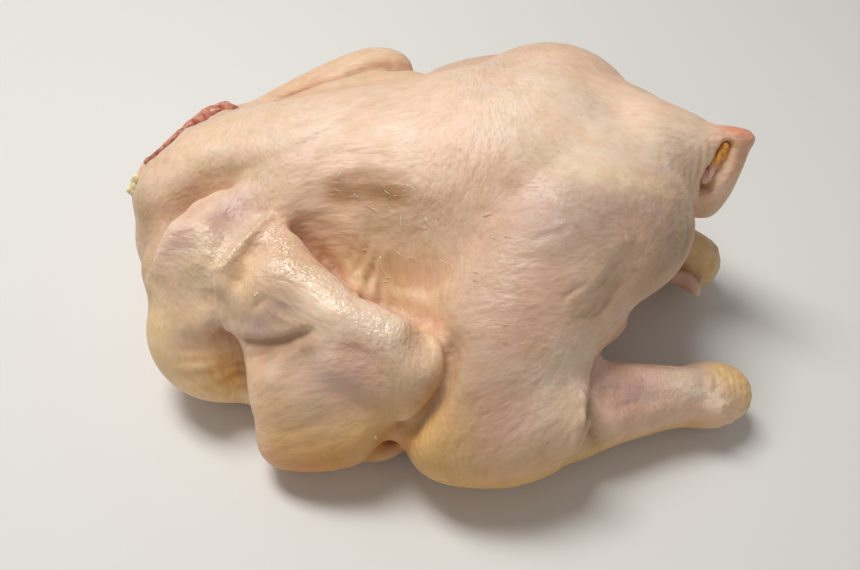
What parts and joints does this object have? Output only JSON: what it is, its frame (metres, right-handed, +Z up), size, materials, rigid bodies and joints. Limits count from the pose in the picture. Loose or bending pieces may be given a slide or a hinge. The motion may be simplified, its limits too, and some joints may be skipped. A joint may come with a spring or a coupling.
{
  "type": "whole raw chicken",
  "caption": "Whole raw plucked chicken lying on its breast with its back up: folded wings, thighs, drumsticks cut at the hock, a cut neck end and a tail.",
  "frame": {"origin": "middle of the footprint, on the surface that the bird lies on", "axes": "+X from the neck end to the tail, -Y towards the bird's left side, +Z up out of its back"},
  "size_m": [0.2546, 0.217, 0.1088],
  "materials": {
    "skin": "moist raw poultry skin"
  },
  "bodies": {
    "root": {"chicken": "skin"}
  },
  "joints": []
}
